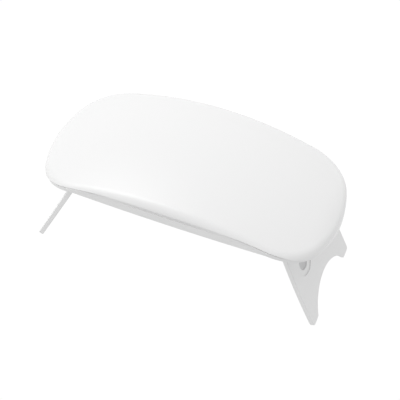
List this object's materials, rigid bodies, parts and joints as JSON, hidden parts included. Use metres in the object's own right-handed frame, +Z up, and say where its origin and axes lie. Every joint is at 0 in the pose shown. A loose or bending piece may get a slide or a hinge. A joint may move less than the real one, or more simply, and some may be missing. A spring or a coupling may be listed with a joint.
{
  "type": "folding nail lamp",
  "caption": "Small curing lamp for nails: a pebble shaped housing with an arched rim on folding legs, lamps on its underside.",
  "frame": {"origin": "middle of the lamp on the surface it stands on, legs unfolded to their stops", "axes": "+X along the length, towards the right leg; +Y towards the side with the button and the socket; +Z up"},
  "size_m": [0.1354, 0.0688, 0.0617],
  "materials": {
    "cover_gloss": "polished white moulding",
    "body_satin": "fine satin white moulding",
    "plug_rubber": "moulded grey",
    "pin_steel": "drawn",
    "screw_steel": "zinc plated",
    "reflector_silver": "metallised silver",
    "board_white": "white lacquer on aluminium",
    "board_green": "green lacquer on glass fibre",
    "socket_steel": "folded sheet",
    "tongue_black": "moulded",
    "switch_black": "moulded",
    "guide_clear": "clear rod",
    "indicator_body": "clear resin on white",
    "emitter_body": "clear resin over white body",
    "lens_clear": "clear resin dome",
    "chip_black": "moulded",
    "coil_grey": "ferrite",
    "capacitor_tan": "ceramic",
    "wire_red": "insulation",
    "wire_black": "insulation"
  },
  "bodies": {
    "housing": {"top_cover": "cover_gloss", "bottom_cover": "body_satin", "left_hinge_pin": "pin_steel", "right_hinge_pin": "pin_steel", "case_screws": "screw_steel", "reflector_plate": "reflector_silver", "led_board": "board_white", "board_screws": "screw_steel", "control_board": "board_green", "usb_shell": "socket_steel", "usb_tongue": "tongue_black", "switch_body": "switch_black", "light_guide": "guide_clear", "indicator_led": "indicator_body", "timer_chip": "chip_black", "power_coil": "coil_grey", "capacitors": "capacitor_tan", "resistors": "chip_black", "positive_wire": "wire_red", "negative_wire": "wire_black", "led_package_1": "emitter_body", "led_package_2": "emitter_body", "led_package_3": "emitter_body", "led_package_4": "emitter_body", "led_package_5": "emitter_body", "led_package_6": "emitter_body", "led_lens_1": "lens_clear", "led_lens_2": "lens_clear", "led_lens_3": "lens_clear", "led_lens_4": "lens_clear", "led_lens_5": "lens_clear", "led_lens_6": "lens_clear"},
    "right_leg": {"right_leg": "body_satin", "right_leg_plugs": "plug_rubber"},
    "left_leg": {"left_leg": "body_satin", "left_leg_plugs": "plug_rubber"},
    "power_button": {"power_button": "cover_gloss", "switch_plunger": "switch_black"}
  },
  "joints": [
    {"name": "right_leg_fold", "type": "hinge", "parent": "housing", "child": "right_leg", "pos_m": [0.04718, 0, 0.0418], "axis": [0, 1, 0], "range_deg": [0, 115.6]},
    {"name": "left_leg_fold", "type": "hinge", "parent": "housing", "child": "left_leg", "pos_m": [-0.04718, 0, 0.0418], "axis": [0, -1, 0], "range_deg": [0, 115.6]},
    {"name": "power_button_press", "type": "slide", "parent": "housing", "child": "power_button", "axis": [0, -1, 0], "range_m": [0, 0.0005], "stiffness_N_per_m": 4000}
  ]
}
